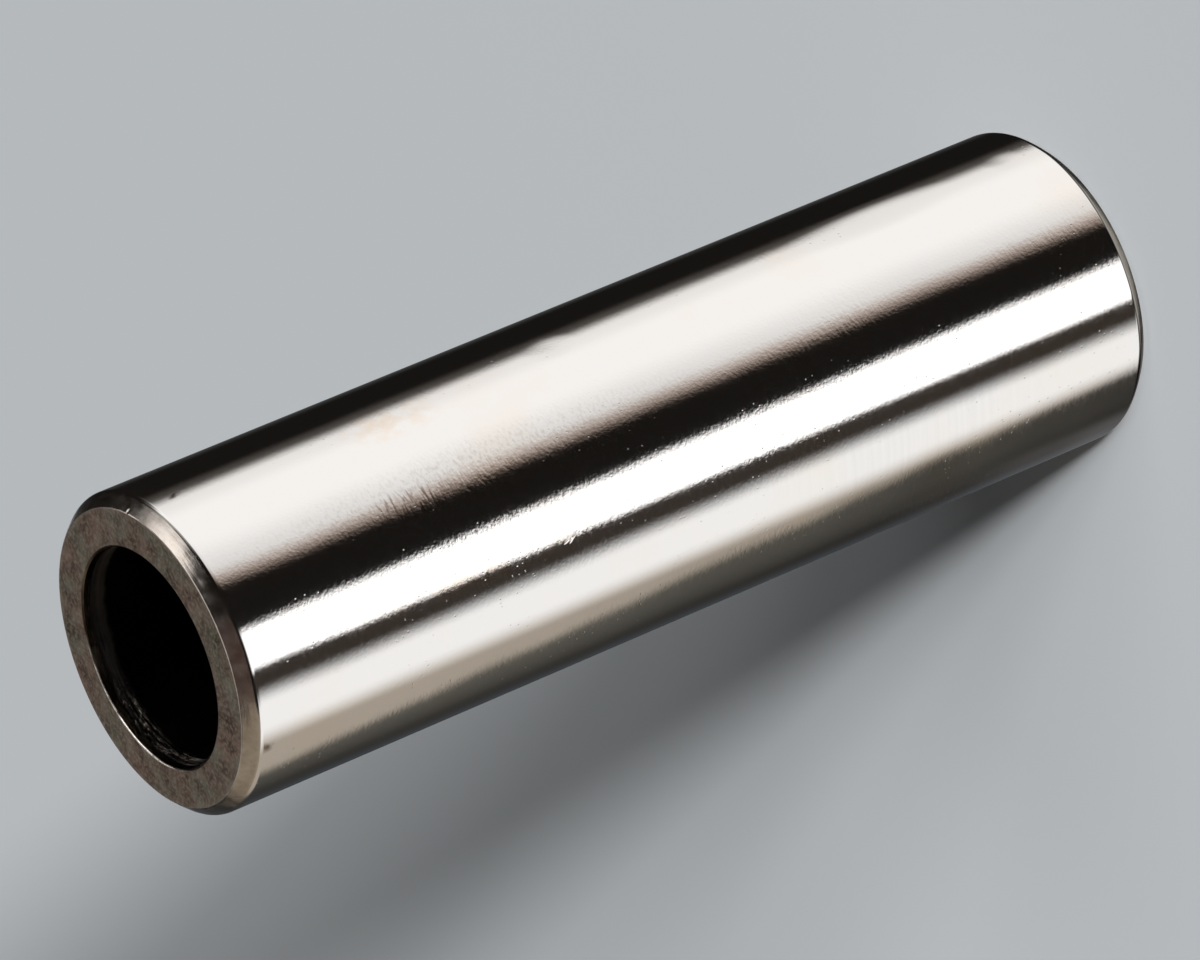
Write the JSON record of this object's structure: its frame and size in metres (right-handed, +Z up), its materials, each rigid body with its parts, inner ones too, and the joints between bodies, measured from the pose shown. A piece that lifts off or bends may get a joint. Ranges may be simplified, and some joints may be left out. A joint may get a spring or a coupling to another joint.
{
  "type": "gudgeon pin",
  "caption": "Hollow cylindrical pin with a ground outside, chamfered ends and a plain through bore, the hinge between a piston and its connecting rod.",
  "frame": {"origin": "centre of the lower end face, on the pin's axis; the pin stands on that face", "axes": "+Z up along the pin's axis, from the lower end face to the upper one; X and Y across it, free to turn because the pin is round"},
  "size_m": [0.018, 0.018, 0.06],
  "materials": {
    "ground_steel": "outside ground and lapped to a near mirror, end faces dull ground grey, bore dark from heat treatment"
  },
  "bodies": {
    "root": {"gudgeon_pin": "ground_steel"}
  },
  "joints": []
}
